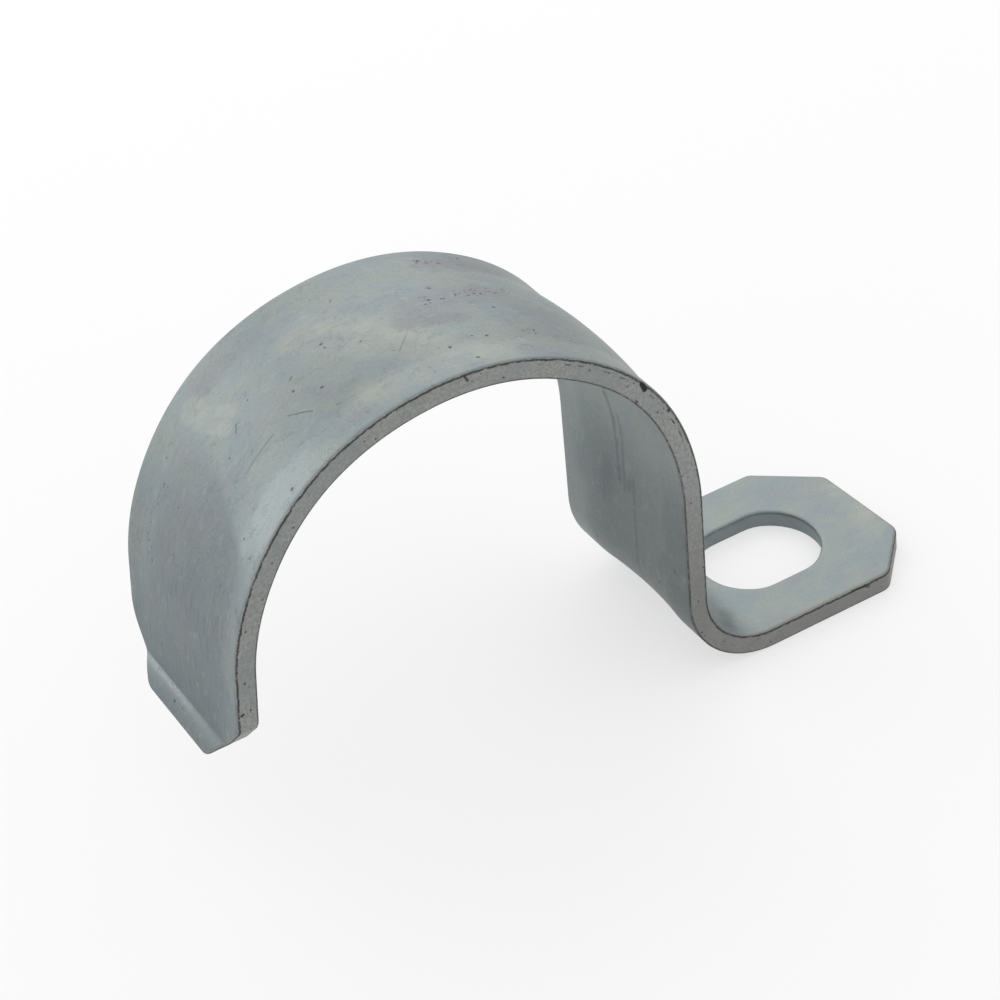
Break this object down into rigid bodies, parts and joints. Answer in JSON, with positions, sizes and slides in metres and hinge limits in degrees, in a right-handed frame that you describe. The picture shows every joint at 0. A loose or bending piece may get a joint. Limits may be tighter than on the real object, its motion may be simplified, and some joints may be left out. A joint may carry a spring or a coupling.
{
  "type": "conduit strap",
  "caption": "Bent steel strap that snaps over a conduit and holds it to a wall, with a slotted foot, a pressed stiffening rib and a flared free end",
  "frame": {"origin": "middle of the screw slot, on the face of the foot that meets the wall", "axes": "+X from the arch towards the end of the foot, +Y along the conduit, +Z away from the wall"},
  "size_m": [0.0724, 0.0208, 0.0442],
  "materials": {
    "zinc_plated_steel": "satin clear-passivated zinc plating, mottled and lightly scuffed"
  },
  "bodies": {
    "root": {"conduit_strap": "zinc_plated_steel"}
  },
  "joints": []
}
